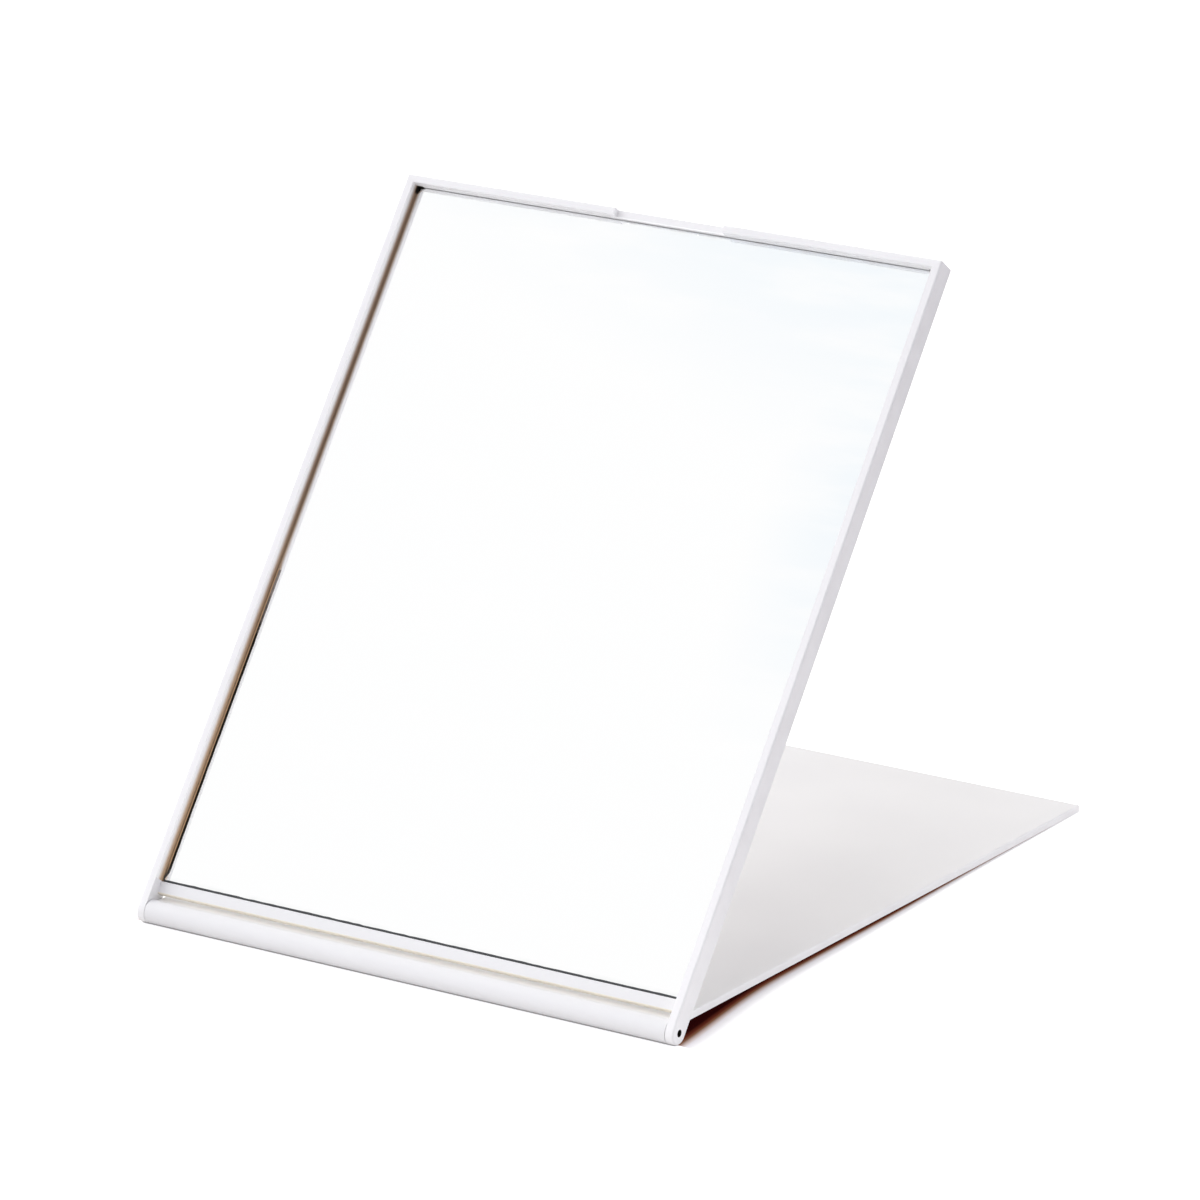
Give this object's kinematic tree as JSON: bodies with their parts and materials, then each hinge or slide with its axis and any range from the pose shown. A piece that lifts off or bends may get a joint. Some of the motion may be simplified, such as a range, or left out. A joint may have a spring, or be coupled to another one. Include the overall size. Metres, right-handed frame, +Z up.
{
  "type": "folding makeup mirror",
  "caption": "Slim folding makeup mirror: a framed glass leaf hinged along its lower edge to a flat lid, which folds round behind it as a stand.",
  "frame": {"origin": "middle of the footprint on the table, with the mirror standing open as in the picture", "axes": "+Z up, +Y from the hinge towards the far end of the stand, +X along the hinge to the viewer's right"},
  "size_m": [0.16, 0.2052, 0.1687],
  "materials": {
    "white_plastic": "satin",
    "mirror": "polished",
    "adhesive": "matte",
    "steel": "plain drawn wire",
    "sleeve_plastic": "natural"
  },
  "bodies": {
    "stand": {"cover_panel": "white_plastic", "friction_sleeve_left": "sleeve_plastic", "friction_sleeve_right": "sleeve_plastic"},
    "mirror": {"mirror_frame": "white_plastic", "back_panel": "white_plastic", "mirror_glass": "mirror", "adhesive_strip_left": "adhesive", "adhesive_strip_middle": "adhesive", "adhesive_strip_right": "adhesive", "hinge_pin_left": "steel", "hinge_pin_right": "steel"}
  },
  "joints": [
    {"name": "mirror_hinge", "type": "hinge", "parent": "stand", "child": "mirror", "pos_m": [0, -0.0996, 0.003], "axis": [1, 0, 0], "range_deg": [-4, 305.9]}
  ]
}
